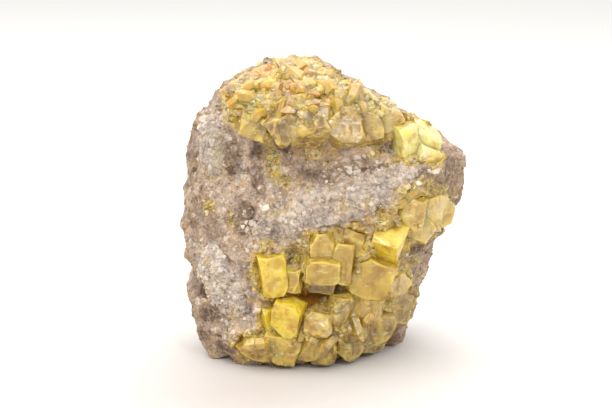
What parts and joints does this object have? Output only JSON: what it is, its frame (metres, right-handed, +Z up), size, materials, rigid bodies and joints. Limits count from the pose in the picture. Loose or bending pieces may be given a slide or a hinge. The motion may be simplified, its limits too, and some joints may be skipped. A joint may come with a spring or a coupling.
{
  "type": "native sulfur crystal specimen on limestone matrix",
  "caption": "Rough lump of limestone that stands on a flat broken base, with a white calcite band and crusts and translucent yellow native sulfur crystals grown over its front and top.",
  "frame": {"origin": "on the flat broken base that the specimen stands on, below the middle of the lump", "axes": "+Z is up from the base, along the specimen's longest side; the face with the crystals looks along -Y; +X is to the right as seen from that side"},
  "size_m": [0.0572, 0.0399, 0.0599],
  "materials": {
    "limestone": "rough broken, porous limestone in beige, brown and dark grey",
    "calcite": "sugary white to pale grey calcite crust, slightly glassy",
    "sulfur": "translucent lemon to honey yellow crystals with a resinous gloss"
  },
  "bodies": {
    "root": {"limestone_matrix": "limestone", "calcite_band": "calcite", "calcite_crust_upper_left": "calcite", "calcite_crust_lower_left": "calcite", "sulfur_crust_top": "sulfur", "sulfur_crystals_top_right": "sulfur", "sulfur_mass_right_lobe": "sulfur", "sulfur_crystal_large": "sulfur", "sulfur_columns_centre": "sulfur", "sulfur_crystal_left": "sulfur", "sulfur_crystal_small_centre": "sulfur", "sulfur_crystal_lower_left": "sulfur", "sulfur_mass_lower_left": "sulfur", "sulfur_mass_front": "sulfur", "sulfur_mass_lower_right": "sulfur"}
  },
  "joints": []
}
